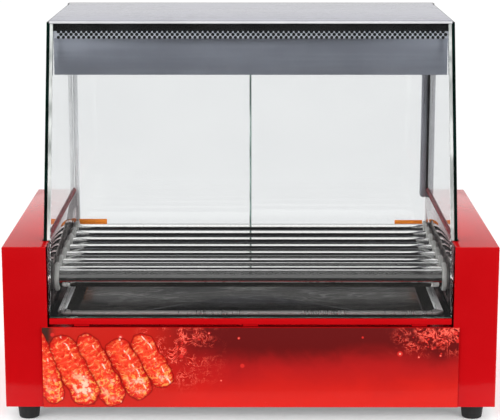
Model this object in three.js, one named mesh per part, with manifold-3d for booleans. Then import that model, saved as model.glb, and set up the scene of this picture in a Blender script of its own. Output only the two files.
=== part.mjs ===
// A counter-top hot dog roller grill: seven heated rollers between two red end boxes, under a glass hood.
// Millimetres, +Z up, +X to the customer's right, +Y from the customer's side to the operator's side.
// The origin is on the counter, under the middle of the whole grill.
import * as THREE from "three";
import { mergeVertices } from "three/addons/utils/BufferGeometryUtils.js";
import Module from "manifold-3d";

const wasm = await Module();
wasm.setup();

// Body
const HALF_WIDTH = 292;
const BODY_DEPTH = 350;
const FRONT_Y = -185; // where the end boxes' front faces stand
const FOOT_HEIGHT = 18;
const BOX_HEIGHT = 196;
const BOX_TOP = FOOT_HEIGHT + BOX_HEIGHT;
const BOX_INNER = 240; // from the centre to an end box's inner edge
const PAN_FLANGE = 12;
const PLATE_INSET = 4; // from an end box's front and rear to its side plate
const RUNNER_INNER = 221;
const RUNNER_INSET = [20, 6]; // from the front and the rear
const FOOT_X = 267;
const FOOT_INSET = [21, 24]; // from the front and the rear
const SHEET = 1.2; // sheet metal thickness
const GAP = 0.3; // clearance between neighbouring pieces

// Rollers and their drive
const ROLLER_COUNT = 7;
const ROLLER_RADIUS = 12.5;
const ROLLER_WALL = 1;
const ROLLER_PITCH = 39.5;
const FIRST_ROLLER = 62; // first axis behind the front face
const ROLLER_Z = BOX_TOP - 51;
const ROLLER_LEFT = -258;
const ROLLER_RIGHT = 248;
const BUSH_RADIUS = 17.5;
const BUSH_FLANGE = 7.3;
const BUSH_HUB_RADIUS = 14.8;
const BUSH_HUB_REACH = 4.5;
const HEATER_RADIUS = 4;
const HEATER_HALF = 272;
const TEETH = 16;
const TOOTH_TIP = 17.7;
const TOOTH_ROOT = 14.6;
const SPROCKET_X = -253;
const SPROCKET_WIDTH = 3;
const CHAIN_CLEARANCE = 0.5;
const CHAIN_THICKNESS = 3;
const MOTOR_DEPTH = FIRST_ROLLER + 3 * ROLLER_PITCH;
const MOTOR_Z = 76;
const MOTOR_RADIUS = 30;
const SHAFT_RADIUS = 3;
const SHAFT_PLAY = 0.4;
const SHAFT_BORE_DEPTH = 14;
const SHAFT_HOLE_RADIUS = 6;
const GEARBOX_LENGTH = 18;
const MOTOR_LENGTH = 40;
const STATOR_RADIUS = 26;
const SPROCKET_HUB = [7, 7]; // radius, and reach past the sprocket's outer face

// Hood
const GLASS = 5;
const SIDE_GLASS = 4;
const SIDE_GLASS_OUTER = 246;
const GLASS_FOOT = 30; // where the hood's sloping front meets the box top, behind the front face
const HOOD_FRONT = 112; // where the slope meets the hood top
const HOOD_HEIGHT = 254; // hood top above the box top
const HOOD_TOP = BOX_TOP + HOOD_HEIGHT;
const HOOD_HALF = 243;
const HOOD_LIP = 3.6;
const SLOPE = (HOOD_FRONT - GLASS_FOOT) / (HOOD_HEIGHT - SHEET - GAP);
const FRONT_GLASS_HALF = 238.2;
const VALANCE_DEPTH = 124;
const VALANCE_HEIGHT = 67.5;
const VALANCE_HALF = 239.2;
const VALANCE_FLANGE = 18;
const VALANCE_HEM = 8;

// Front, tray and rear
const PANEL_TOP = BOX_TOP - 97;
const PANEL_HALF = 247;
const PANEL_SHELF = 16;
const RAIL_HALF = 237.6;
const RAIL_FRONT = -0.6;
const RAIL_REAR = 7;
const POST_HALF = 9;
const POST_X = [-200, 0, 200];
const POST_DEPTHS = [3, 5.6];
const RAIL_BOTTOM = BOX_TOP - 93.4;
const RAIL_TOP = BOX_TOP - 86.8;
const RUNNER_Z = BOX_TOP - 106;
const TRAY_HALF = 230.6;
const TRAY_FRONT = 20;
const TRAY_REAR = 345;
const TRAY_RIM = BOX_TOP - 85;
const TRAY_PLATE_TOP = BOX_TOP - 66;
const GRIP_HALF = 70;
const GRIP_REACH = 15;
const GRIP_THICKNESS = 1.5;
const TRACK_TOP = BOX_TOP - 52;
const TRACK_DEPTH = BODY_DEPTH + GAP;
const LOWER_TRACK_HALF = 262;
const UPPER_TRACK_HALF = 246;
const TRACK_FLOOR = 3;
const TRACK_WALL = 2;
const GROOVE = 5.4;
const LOWER_LIP = 8;
const UPPER_LIP = 12;
const DOOR_THICKNESS = 4;
const DOOR_WIDTH = 246;
const LEFT_DOOR_X = -245.5;
const RIGHT_DOOR_X = -2.3;
const DOOR_HEAD_PLAY = 2;
const LEFT_PULL = { x: -238.9, width: 6.4, thickness: 2.2, foot: BOX_TOP - 46 };
const RIGHT_PULL = { x: 237.5, width: 9.4, thickness: 6.8, foot: BOX_TOP - 14 };
const PULL_HEAD_GAP = 4;

// Controls on the operator's side
const PANEL_FACE = 346.9;
const PANEL_FLANGE = 14;
const KNOB_X = [-120, -60];
const KNOB_Z = 68;
const KNOB_SKIRT = 19;
const KNOB_REACH = 24.6;
const KNOB_HOLE_RADIUS = 4;
const POINTER = { width: 7, height: 31, start: 4.5 };
const SWITCH_X = { power_switch: 20, motor_switch: 60 };
const SWITCH_HALF_WIDTH = 6;
const SWITCH_HALF_HEIGHT = 10;
const SWITCH_HOLE = [8.5, 13]; // half its width and half its height
const SWITCH_TILT = THREE.MathUtils.degToRad(8); // each rocker rests with its upper half out
const GLAND_X = 150;
const GLAND_Z = 50;
const GLAND_HOLE_RADIUS = 8.3;

const COLOURS = {
  red_paint: [0xc8141a, 0.25, 0.0],
  stainless: [0xb9bac0, 0.3, 1.0],
  galvanised: [0x8f9194, 0.5, 0.8],
  chrome: [0xd9dadb, 0.12, 1.0],
  glass: [0xdfe9e6, 0.05, 0.0],
  aluminium: [0xa9abb0, 0.4, 0.9],
  ptfe: [0xa4a49f, 0.6, 0.0],
  black_plastic: [0x1b1b1c, 0.5, 0.0],
  rubber: [0x161616, 0.85, 0.0],
  switch_red: [0xb81a12, 0.35, 0.0],
};

const assembly = new THREE.Group();

const behind = (depth) => FRONT_Y + depth;
const PLATE_INNER = BOX_INNER - GAP - SHEET;
const PANEL_BETWEEN = PLATE_INNER - 2 * GAP; // half the width of the pieces between the side plates

function add(name, geometry, colour) {
  const [color, roughness, metalness] = COLOURS[colour];
  const mesh = new THREE.Mesh(geometry, new THREE.MeshStandardMaterial({ color, roughness, metalness }));
  mesh.name = name;
  assembly.add(mesh);
  return mesh;
}

// Solids: joined and cut with manifold-3d, made from three.js geometries.
function toSolid(geometry) {
  const bare = geometry.clone();
  bare.deleteAttribute("normal");
  bare.deleteAttribute("uv");
  const merged = mergeVertices(bare, 1e-4);
  const vertProperties = merged.attributes.position.array;
  const triVerts = new Uint32Array(merged.index.array);
  return new wasm.Manifold(new wasm.Mesh({ numProp: 3, vertProperties, triVerts }));
}

function toGeometry(solid) {
  const mesh = solid.getMesh();
  const geometry = new THREE.BufferGeometry();
  geometry.setAttribute("position", new THREE.BufferAttribute(mesh.vertProperties, 3));
  geometry.setIndex(new THREE.BufferAttribute(mesh.triVerts, 1));
  return geometry;
}

const join = (...pieces) => toGeometry(pieces.map(toSolid).reduce((whole, piece) => whole.add(piece)));
const cut = (piece, ...tools) =>
  toGeometry(tools.map(toSolid).reduce((whole, tool) => whole.subtract(tool), toSolid(piece)));

// A block between two X, two depths behind the front face and two heights.
function slab(x0, x1, d0, d1, z0, z1) {
  const block = new THREE.BoxGeometry(x1 - x0, d1 - d0, z1 - z0);
  return block.translate((x0 + x1) / 2, behind((d0 + d1) / 2), (z0 + z1) / 2);
}

// A side outline of [depth, height] points, extruded from x0 to x1.
function sideExtrusion(outline, x0, x1, holes = []) {
  const shape = new THREE.Shape(outline.map(([d, z]) => new THREE.Vector2(behind(d), z)));
  shape.holes = holes.map((hole) => new THREE.Path(hole.map(([d, z]) => new THREE.Vector2(behind(d), z))));
  const solid = new THREE.ExtrudeGeometry(shape, { depth: x1 - x0, bevelEnabled: false });
  const sideways = new THREE.Matrix4().makeBasis(
    new THREE.Vector3(0, 1, 0),
    new THREE.Vector3(0, 0, 1),
    new THREE.Vector3(1, 0, 0),
  );
  return solid.applyMatrix4(sideways).translate(x0, 0, 0);
}

// A profile of [radius, height] points turned about +Z, then laid along +X or +Y.
const turned = (profile, segments) =>
  new THREE.LatheGeometry(profile.map(([r, z]) => new THREE.Vector2(r, z)), segments).rotateX(Math.PI / 2);
const turnedAlongX = (profile, segments) => turned(profile, segments).rotateY(Math.PI / 2);
const turnedAlongY = (profile, segments) => turned(profile, segments).rotateX(-Math.PI / 2);

function rod(radius, x0, x1, segments) {
  return turnedAlongX([[0, x0], [radius, x0], [radius, x1], [0, x1]], segments);
}

// Mirrors a right-hand piece to the left, keeping its faces outward.
function mirrored(geometry) {
  const copy = toGeometry(toSolid(geometry));
  copy.scale(-1, 1, 1);
  const index = copy.index.array;
  for (let i = 0; i < index.length; i += 3) [index[i + 1], index[i + 2]] = [index[i + 2], index[i + 1]];
  return copy;
}

function addPair(name, rightGeometry, colour) {
  add("left_" + name, mirrored(rightGeometry), colour);
  add("right_" + name, rightGeometry, colour);
}

function basePan() {
  const outer = HALF_WIDTH - SHEET - GAP;
  const front = SHEET + GAP;
  const rear = BODY_DEPTH - SHEET - GAP;
  const floor = FOOT_HEIGHT + SHEET;
  const pan = slab(-outer, outer, front, rear, FOOT_HEIGHT, FOOT_HEIGHT + PAN_FLANGE);
  const inside = slab(-outer + SHEET, outer - SHEET, front + SHEET, rear - SHEET, floor, floor + PAN_FLANGE);
  add("base_pan", cut(pan, inside), "galvanised");
}

function endCovers() {
  const bottom = FOOT_HEIGHT + GAP;
  const shell = slab(BOX_INNER, HALF_WIDTH, 0, BODY_DEPTH, bottom, BOX_TOP);
  const inside = slab(0, HALF_WIDTH - SHEET, SHEET, BODY_DEPTH - SHEET, 0, BOX_TOP - SHEET);
  addPair("end_cover", cut(shell, inside), "red_paint");
}

function sidePlates() {
  const outer = PLATE_INNER + SHEET;
  const foot = FOOT_HEIGHT + SHEET + GAP;
  const [frontInset, rearInset] = RUNNER_INSET;
  const plate = slab(PLATE_INNER, outer, PLATE_INSET, BODY_DEPTH - PLATE_INSET, foot, BOX_TOP - GAP);
  const runner = slab(RUNNER_INNER, outer, frontInset, BODY_DEPTH - rearInset, RUNNER_Z - SHEET, RUNNER_Z);
  const drill = (radius, segments) => rod(radius, PLATE_INNER - 1, outer + 1, segments);
  const holes = rollerDepths().map((depth) =>
    drill(BUSH_HUB_RADIUS + GAP, 16).translate(0, behind(depth), ROLLER_Z),
  );
  const shaftHole = drill(SHAFT_HOLE_RADIUS, 12).translate(0, behind(MOTOR_DEPTH), MOTOR_Z);
  const right = cut(join(plate, runner), ...holes);
  add("right_side_plate", right, "stainless");
  add("left_side_plate", mirrored(cut(right, shaftHole)), "stainless");
}

function frontPanel() {
  const bottom = FOOT_HEIGHT + GAP;
  const face = slab(-PANEL_HALF, PANEL_HALF, -SHEET - GAP, -GAP, bottom, PANEL_TOP);
  const shelf = slab(-PANEL_BETWEEN, PANEL_BETWEEN, -SHEET, PANEL_SHELF, PANEL_TOP - SHEET, PANEL_TOP);
  add("front_panel", join(face, shelf), "red_paint");
}

// A channel open downward, on posts that stand on the front panel's shelf.
function frontRail() {
  const bar = slab(-RAIL_HALF, RAIL_HALF, RAIL_FRONT, RAIL_REAR, RAIL_BOTTOM, RAIL_TOP);
  const half = RAIL_HALF - SHEET;
  const hollow = slab(-half, half, RAIL_FRONT + SHEET, RAIL_REAR - SHEET, RAIL_BOTTOM - 1, RAIL_TOP - SHEET);
  const [front, rear] = POST_DEPTHS;
  const posts = POST_X.map((x) =>
    slab(x - POST_HALF, x + POST_HALF, front, rear, PANEL_TOP + GAP, RAIL_TOP - SHEET / 2),
  );
  add("front_rail", join(cut(bar, hollow), ...posts), "red_paint");
}

function rearPanel() {
  const half = PANEL_BETWEEN;
  const bottom = FOOT_HEIGHT + SHEET + GAP;
  const top = RUNNER_Z - SHEET - GAP;
  const inner = PANEL_FACE - SHEET;
  const face = slab(-half, half, inner, PANEL_FACE, bottom, top);
  const headFlange = slab(-half, half, inner - PANEL_FLANGE, PANEL_FACE, top - SHEET, top);
  const footFlange = slab(-half, half, inner - PANEL_FLANGE, PANEL_FACE, bottom, bottom + SHEET);
  const drill = (radius, segments) =>
    turnedAlongY([[0, -2 * SHEET], [radius, -2 * SHEET], [radius, SHEET], [0, SHEET]], segments);
  const knobHoles = KNOB_X.map((x) => drill(KNOB_HOLE_RADIUS, 16).translate(x, behind(PANEL_FACE), KNOB_Z));
  const [halfWidth, halfHeight] = SWITCH_HOLE;
  const switchHoles = Object.values(SWITCH_X).map((x) =>
    slab(x - halfWidth, x + halfWidth, inner - 1, PANEL_FACE + 1, KNOB_Z - halfHeight, KNOB_Z + halfHeight),
  );
  const glandHole = drill(GLAND_HOLE_RADIUS, 20).translate(GLAND_X, behind(PANEL_FACE), GLAND_Z);
  const panel = join(face, headFlange, footFlange);
  add("rear_panel", cut(panel, ...knobHoles, ...switchHoles, glandHole), "stainless");
}

// A double-groove section with its grooves open towards +Z when up is 1, or -Z when up is -1.
function doorTrack(z, lip, up, half) {
  const depth = 2 * GROOVE + 3 * TRACK_WALL;
  const start = TRACK_DEPTH;
  const end = start + depth;
  const firstWall = start + TRACK_WALL + GROOVE;
  const secondGroove = firstWall + TRACK_WALL;
  const floor = z + up * TRACK_FLOOR;
  const crest = floor + up * lip;
  const outline = [
    [start, z], [end, z], [end, crest], [end - TRACK_WALL, crest], [end - TRACK_WALL, floor],
    [secondGroove, floor], [secondGroove, crest], [firstWall, crest], [firstWall, floor],
    [start + TRACK_WALL, floor], [start + TRACK_WALL, crest], [start, crest],
  ];
  return sideExtrusion(outline, -half, half);
}

function doorTracks() {
  const lowerFloor = TRACK_TOP - LOWER_LIP - TRACK_FLOOR;
  add("lower_door_track", doorTrack(lowerFloor, LOWER_LIP, 1, LOWER_TRACK_HALF), "aluminium");
  add("upper_door_track", doorTrack(HOOD_TOP, UPPER_LIP, -1, UPPER_TRACK_HALF), "aluminium");
}

function doorSlab(x0, groove) {
  const front = TRACK_DEPTH + TRACK_WALL + (GROOVE - DOOR_THICKNESS) / 2 + groove * (GROOVE + TRACK_WALL);
  const foot = TRACK_TOP - LOWER_LIP + GAP;
  const head = HOOD_TOP - TRACK_FLOOR - DOOR_HEAD_PLAY;
  return slab(x0, x0 + DOOR_WIDTH, front, front + DOOR_THICKNESS, foot, head);
}

// A vertical strip with a rounded foot, on a door's outer edge.
function doorPull({ x, width, thickness, foot }, depth) {
  const radius = width / 2;
  const head = HOOD_TOP - TRACK_FLOOR - UPPER_LIP - PULL_HEAD_GAP;
  const shape = new THREE.Shape();
  shape.moveTo(-radius, head);
  shape.lineTo(-radius, foot + radius);
  shape.absarc(0, foot + radius, radius, Math.PI, 2 * Math.PI, false);
  shape.lineTo(radius, head);
  shape.closePath();
  const strip = new THREE.ExtrudeGeometry(shape, { depth: thickness, bevelEnabled: false, curveSegments: 8 });
  return strip.rotateX(Math.PI / 2).translate(x, behind(depth + thickness), 0);
}

function doors() {
  const frontDoorBack = TRACK_DEPTH + TRACK_WALL + (GROOVE + DOOR_THICKNESS) / 2;
  const rearDoorBack = frontDoorBack + GROOVE + TRACK_WALL;
  add("left_door", doorSlab(LEFT_DOOR_X, 0), "glass");
  add("right_door", doorSlab(RIGHT_DOOR_X, 1), "glass");
  add("left_door_pull", doorPull(LEFT_PULL, frontDoorBack + GAP), "aluminium");
  add("right_door_pull", doorPull(RIGHT_PULL, rearDoorBack + GAP), "aluminium");
}

function sideGlasses() {
  const foot = BOX_TOP + GAP;
  const head = HOOD_TOP - SHEET - GAP;
  const rear = BODY_DEPTH - 1;
  const outline = [[GLASS_FOOT, foot], [rear, foot], [rear, head], [HOOD_FRONT, head]];
  addPair("side_glass", sideExtrusion(outline, SIDE_GLASS_OUTER - SIDE_GLASS, SIDE_GLASS_OUTER), "glass");
}

function frontGlass() {
  const head = HOOD_TOP - SHEET - GAP;
  const foot = RAIL_TOP + GAP;
  const footDepth = HOOD_FRONT - (head - foot) * SLOPE;
  const run = GLASS * Math.hypot(1, SLOPE);
  const outline = [[footDepth, foot], [footDepth + run, foot], [HOOD_FRONT + run, head], [HOOD_FRONT, head]];
  add("front_glass", sideExtrusion(outline, -FRONT_GLASS_HALF, FRONT_GLASS_HALF), "glass");
}

function hoodTop() {
  const lipFront = HOOD_FRONT - 0.9 - SHEET;
  const sheet = slab(-HOOD_HALF, HOOD_HALF, lipFront, BODY_DEPTH, HOOD_TOP - SHEET, HOOD_TOP);
  const lip = slab(-HOOD_HALF, HOOD_HALF, lipFront, lipFront + SHEET, HOOD_TOP - HOOD_LIP, HOOD_TOP);
  add("hood_top", join(sheet, lip), "stainless");
}

function hoodValance() {
  const half = VALANCE_HALF;
  const front = VALANCE_DEPTH;
  const head = HOOD_TOP - SHEET - GAP;
  const foot = HOOD_TOP - VALANCE_HEIGHT;
  const sheet = slab(-half, half, front, front + SHEET, foot, head);
  const flange = slab(-half, half, front, front + VALANCE_FLANGE, head - SHEET, head);
  const hem = slab(-half, half, front, front + VALANCE_HEM, foot, foot + SHEET);
  add("hood_valance", join(sheet, flange, hem), "stainless");
}

const rollerDepths = () => Array.from({ length: ROLLER_COUNT }, (_, i) => FIRST_ROLLER + i * ROLLER_PITCH);

// A toothed disc of thickness SPROCKET_WIDTH about the X axis, with a tooth pointing straight up.
function sprocket(bore) {
  const shape = new THREE.Shape();
  const step = (2 * Math.PI) / TEETH;
  const corners = [[TOOTH_ROOT, -0.5], [TOOTH_TIP, -0.14], [TOOTH_TIP, 0.14]];
  for (let tooth = 0; tooth < TEETH; tooth++) {
    for (const [radius, turn] of corners) {
      const angle = Math.PI / 2 + (tooth + turn) * step;
      const point = [radius * Math.cos(angle), radius * Math.sin(angle)];
      if (tooth === 0 && turn === corners[0][1]) shape.moveTo(...point);
      else shape.lineTo(...point);
    }
  }
  shape.closePath();
  if (bore > 0) {
    const hole = new THREE.Path();
    hole.absarc(0, 0, bore, 0, 2 * Math.PI, true);
    shape.holes = [hole];
  }
  const depth = SPROCKET_WIDTH;
  const disc = new THREE.ExtrudeGeometry(shape, { depth, bevelEnabled: false, curveSegments: 10 });
  return disc.rotateX(Math.PI / 2).rotateZ(Math.PI / 2).translate(SPROCKET_X, 0, 0);
}

function rollers() {
  const inner = ROLLER_RADIUS - ROLLER_WALL;
  const tube = turnedAlongX(
    [
      [inner, ROLLER_LEFT], [ROLLER_RADIUS, ROLLER_LEFT], [ROLLER_RADIUS, ROLLER_RIGHT],
      [inner, ROLLER_RIGHT], [inner, ROLLER_LEFT],
    ],
    20,
  );
  rollerDepths().forEach((depth, i) => {
    const roller = join(tube, sprocket(inner + 0.3));
    add("roller_" + (i + 1), roller.translate(0, behind(depth), ROLLER_Z), "chrome");
  });
}

function bushes() {
  const face = PLATE_INNER - GAP;
  const start = face - BUSH_FLANGE;
  const end = face + BUSH_HUB_REACH;
  const bore = ROLLER_RADIUS + GAP;
  const bush = turnedAlongX(
    [
      [bore, start], [BUSH_RADIUS, start], [BUSH_RADIUS, face], [BUSH_HUB_RADIUS, face],
      [BUSH_HUB_RADIUS, end], [bore, end], [bore, start],
    ],
    16,
  );
  rollerDepths().forEach((depth, i) => {
    addPair("bush_" + (i + 1), bush.clone().translate(0, behind(depth), ROLLER_Z), "ptfe");
  });
}

function heaters() {
  rollerDepths().forEach((depth, i) => {
    const heater = rod(HEATER_RADIUS, -HEATER_HALF, HEATER_HALF, 8);
    add("heater_" + (i + 1), heater.translate(0, behind(depth), ROLLER_Z), "galvanised");
  });
}

function drive() {
  const depth = behind(MOTOR_DEPTH);
  const face = -(PLATE_INNER - GAP);
  const outerFace = SPROCKET_X - SPROCKET_WIDTH;
  const gearbox = rod(MOTOR_RADIUS, face, face + GEARBOX_LENGTH, 24);
  const stator = rod(STATOR_RADIUS, face + GEARBOX_LENGTH, face + MOTOR_LENGTH, 20);
  const shaftBore = rod(SHAFT_RADIUS + SHAFT_PLAY, face - 1, face + SHAFT_BORE_DEPTH, 12);
  add("drive_motor", cut(join(gearbox, stator), shaftBore).translate(0, depth, MOTOR_Z), "galvanised");
  const [hubRadius, hubReach] = SPROCKET_HUB;
  const shaft = rod(SHAFT_RADIUS, outerFace, face + SHAFT_BORE_DEPTH - 1, 12);
  const hub = rod(hubRadius, outerFace, SPROCKET_X + hubReach, 12);
  add("motor_sprocket", join(shaft, hub, sprocket(0)).translate(0, depth, MOTOR_Z), "galvanised");
}

// The chain's loop, as a closed band round the first and last rollers' sprockets and the motor's.
function chainLoop(radius) {
  const centres = [
    new THREE.Vector2(FIRST_ROLLER, ROLLER_Z),
    new THREE.Vector2(MOTOR_DEPTH, MOTOR_Z),
    new THREE.Vector2(FIRST_ROLLER + (ROLLER_COUNT - 1) * ROLLER_PITCH, ROLLER_Z),
  ];
  const outline = [];
  centres.forEach((centre, i) => {
    const before = centres[(i + 2) % 3];
    const after = centres[(i + 1) % 3];
    const start = Math.atan2(centre.y - before.y, centre.x - before.x) - Math.PI / 2;
    let end = Math.atan2(after.y - centre.y, after.x - centre.x) - Math.PI / 2;
    while (end < start) end += 2 * Math.PI;
    const steps = 10;
    for (let k = 0; k <= steps; k++) {
      const angle = start + ((end - start) * k) / steps;
      outline.push([centre.x + radius * Math.cos(angle), centre.y + radius * Math.sin(angle)]);
    }
  });
  return outline;
}

function driveChain() {
  const inner = (TOOTH_TIP + CHAIN_CLEARANCE) / Math.cos(Math.PI / 20);
  const band = sideExtrusion(
    chainLoop(inner + CHAIN_THICKNESS), SPROCKET_X, SPROCKET_X + SPROCKET_WIDTH, [chainLoop(inner)],
  );
  add("drive_chain", band, "galvanised");
}

// The tray: a shallow pan on the side plates' runners, with a pull plate and a grip at the operator's side.
function dripTray() {
  const bottom = RUNNER_Z + GAP;
  const outside = slab(-TRAY_HALF, TRAY_HALF, TRAY_FRONT, TRAY_REAR, bottom, TRAY_RIM);
  const half = TRAY_HALF - SHEET;
  const rear = TRAY_REAR - SHEET;
  const inside = slab(-half, half, TRAY_FRONT + SHEET, rear, bottom + SHEET, TRAY_RIM + 1);
  const plate = slab(-TRAY_HALF, TRAY_HALF, rear, TRAY_REAR, bottom, TRAY_PLATE_TOP);
  const grip = slab(-GRIP_HALF, GRIP_HALF, rear, TRAY_REAR + GRIP_REACH, TRAY_RIM, TRAY_RIM + GRIP_THICKNESS);
  add("drip_tray", join(cut(outside, inside), plate, grip), "stainless");
}

function feet() {
  const top = FOOT_HEIGHT - GAP;
  const profile = [[0, 0], [11.2, 0], [12.2, 1.2], [13.8, top], [0, top]];
  const [frontInset, rearInset] = FOOT_INSET;
  for (const [side, x] of [["left", -FOOT_X], ["right", FOOT_X]]) {
    for (const [end, depth] of [["front", frontInset], ["rear", BODY_DEPTH - rearInset]]) {
      add(end + "_" + side + "_foot", turned(profile, 20).translate(x, behind(depth), 0), "rubber");
    }
  }
}

function knobs() {
  const body = turnedAlongY(
    [
      [0, -7], [3.2, -7], [3.2, 0.5], [KNOB_SKIRT, 0.5], [KNOB_SKIRT, 3.5], [KNOB_SKIRT - 3, 5], [11, 6.5],
      [10, KNOB_REACH], [0, KNOB_REACH],
    ],
    16,
  );
  const pointer = new THREE.BoxGeometry(POINTER.width, KNOB_REACH - POINTER.start, POINTER.height);
  const knob = join(body, pointer.translate(0, (KNOB_REACH + POINTER.start) / 2, 0));
  ["front_thermostat_knob", "rear_thermostat_knob"].forEach((name, i) => {
    add(name, knob.clone().translate(KNOB_X[i], behind(PANEL_FACE), KNOB_Z), "black_plastic");
  });
}

// A rocker with a shallow V face, seen from the operator's side.
function rocker() {
  const shape = new THREE.Shape();
  const half = SWITCH_HALF_HEIGHT;
  shape.moveTo(-5, -half);
  shape.lineTo(4, -half);
  shape.lineTo(2, 0);
  shape.lineTo(4, half);
  shape.lineTo(-5, half);
  shape.closePath();
  const depth = 2 * SWITCH_HALF_WIDTH;
  const block = new THREE.ExtrudeGeometry(shape, { depth, bevelEnabled: false });
  block.rotateX(Math.PI / 2).rotateZ(Math.PI / 2).translate(-SWITCH_HALF_WIDTH, 0, 0);
  return block.rotateX(-SWITCH_TILT);
}

function switches() {
  for (const [name, x] of Object.entries(SWITCH_X)) {
    add(name, rocker().translate(x, behind(PANEL_FACE), KNOB_Z), "switch_red");
  }
}

function cordGland() {
  const gland = turnedAlongY(
    [
      [4, -10], [8, -10], [8, 0.3], [11, 0.3], [11, 6], [8.5, 8], [7.5, 16], [4, 16], [4, -10],
    ],
    16,
  );
  add("cord_gland", gland.translate(GLAND_X, behind(PANEL_FACE), GLAND_Z), "black_plastic");
}

basePan();
endCovers();
sidePlates();
frontPanel();
frontRail();
rearPanel();
doorTracks();
doors();
sideGlasses();
frontGlass();
hoodTop();
hoodValance();
rollers();
bushes();
heaters();
drive();
driveChain();
dripTray();
feet();
knobs();
switches();
cordGland();

export default assembly;
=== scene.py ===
"""The looks of a hot dog roller grill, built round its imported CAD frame.

Metres, +X to the customer's right, +Y to the operator's side, +Z up. Numbers times MM are millimetres.
"""
import math

import bmesh
import bpy
from mathutils import Matrix, Vector


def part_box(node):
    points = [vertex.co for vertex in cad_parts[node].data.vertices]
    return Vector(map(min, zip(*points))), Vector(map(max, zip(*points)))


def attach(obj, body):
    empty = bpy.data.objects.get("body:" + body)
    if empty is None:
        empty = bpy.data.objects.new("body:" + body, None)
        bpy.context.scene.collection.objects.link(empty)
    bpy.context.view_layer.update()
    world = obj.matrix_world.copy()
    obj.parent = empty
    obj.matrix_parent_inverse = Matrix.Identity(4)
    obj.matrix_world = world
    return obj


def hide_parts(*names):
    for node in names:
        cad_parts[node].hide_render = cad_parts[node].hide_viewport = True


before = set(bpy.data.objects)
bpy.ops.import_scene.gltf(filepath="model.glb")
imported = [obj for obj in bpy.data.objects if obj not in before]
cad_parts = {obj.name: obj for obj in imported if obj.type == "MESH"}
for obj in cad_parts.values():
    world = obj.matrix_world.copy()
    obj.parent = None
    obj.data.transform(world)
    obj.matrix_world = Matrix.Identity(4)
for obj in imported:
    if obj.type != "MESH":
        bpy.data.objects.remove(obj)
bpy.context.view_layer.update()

MM = 0.001
SHEET = 1.2 * MM
ROLLERS = range(1, 8)
SIDES = (("left", -1), ("right", 1))
DIAL_NUMBERS = 7
DIAL_TURN = 270  # degrees

# Camera
LENS = 122.4
SENSOR_WIDTH = 36.0
CAMERA_X = 0.004
CAMERA_REACH = 1.938  # before the end boxes' front
CAMERA_RISE = 0.453  # above the end boxes' top
CAMERA_PITCH = 11.9  # degrees down
CAMERA_YAW = 0.135  # degrees

# Studio
STUDIO_WHITE = 1.05
FRONT_LEVEL = 0.18  # what surfaces mirror of the studio's front half
UNDER_LEVEL = 0.015  # and of what is below the horizon
OVERHEAD_LEVEL = 0.04
FLOOR_CORNERS = ((-1.5, -0.25), (1.5, -0.25), (1.5, 0.88), (-1.5, 0.88))
FLOOR_DROP = 0.0002
LAMP_AIM = (0, 0, 0.2)
STUDIO_LAMPS = (  # name, place, width and height, watts
    ("key", (-2.0, -1.7, 0.9), (2.8, 1.6), 75),
    ("fill", (2.0, -1.7, 0.85), (2.8, 1.6), 72),
    ("top", (0, 1.2, 3.0), (3.0, 3.0), 12),
)


# ---------------------------------------------------------------- node materials

class Nodes:
    """Short calls that add nodes to a tree; each gives back what the new node puts out."""

    def __init__(self, tree):
        self.tree = tree

    def node(self, kind, inputs=(), **settings):
        made = self.tree.nodes.new(kind)
        for name, value in settings.items():
            setattr(made, name, value)
        for key, value in dict(inputs).items():
            if isinstance(value, bpy.types.NodeSocket):
                self.tree.links.new(value, made.inputs[key])
            else:
                made.inputs[key].default_value = value
        return made

    def vector(self, operation, a, b):
        return self.node("ShaderNodeVectorMath", {0: a, 1: b}, operation=operation).outputs["Vector"]

    def dot(self, a, b):
        return self.node("ShaderNodeVectorMath", {0: a, 1: b}, operation="DOT_PRODUCT").outputs["Value"]

    def math(self, operation, a, b=0.0, clamp=False):
        return self.node("ShaderNodeMath", {0: a, 1: b}, operation=operation, use_clamp=clamp).outputs[0]

    def noise(self, where, scale, detail=3.0, roughness=0.55, distortion=0.0):
        inputs = {"Vector": where, "Scale": scale, "Detail": detail, "Roughness": roughness}
        inputs["Distortion"] = distortion
        return self.node("ShaderNodeTexNoise", inputs).outputs["Fac"]

    def steps(self, value, low, high, to_low=0.0, to_high=1.0):
        """A smooth step from to_low to to_high while value goes from low to high."""
        inputs = {"Value": value, "From Min": low, "From Max": high, "To Min": to_low, "To Max": to_high}
        return self.node("ShaderNodeMapRange", inputs, interpolation_type="SMOOTHSTEP").outputs["Result"]

    def mix(self, share, a, b):
        a, b = (value if isinstance(value, bpy.types.NodeSocket) else (*value, 1.0) for value in (a, b))
        return self.node("ShaderNodeMix", {0: share, 6: a, 7: b}, data_type="RGBA").outputs[2]


class Shader(Nodes):
    """A material with one Principled node. Keywords set its sockets, with _ for a blank."""

    def __init__(self, name, **sockets):
        self.material = bpy.data.materials.new(name)
        self.material.use_nodes = True
        super().__init__(self.material.node_tree)
        self.tree.nodes.clear()
        self.output = self.tree.nodes.new("ShaderNodeOutputMaterial")
        self.principled = self.tree.nodes.new("ShaderNodeBsdfPrincipled")
        self.tree.links.new(self.principled.outputs[0], self.output.inputs["Surface"])
        for socket, value in sockets.items():
            self.set(socket.replace("_", " "), value)

    def set(self, socket, value):
        target = self.principled.inputs[socket]
        if isinstance(value, bpy.types.NodeSocket):
            self.tree.links.new(value, target)
        else:
            target.default_value = (*value, 1.0) if isinstance(value, tuple) else value

    def place(self, scale=(1, 1, 1), shift=(0, 0, 0)):
        """The point in the grill's frame, in metres, moved and then stretched."""
        coords = self.node("ShaderNodeTexCoord").outputs["Object"]
        return self.vector("MULTIPLY", self.vector("ADD", coords, shift), scale)

    def bump(self, height, distance, strength=1.0):
        made = self.node("ShaderNodeBump", {"Height": height, "Distance": distance, "Strength": strength})
        self.set("Normal", made.outputs["Normal"])


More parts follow.
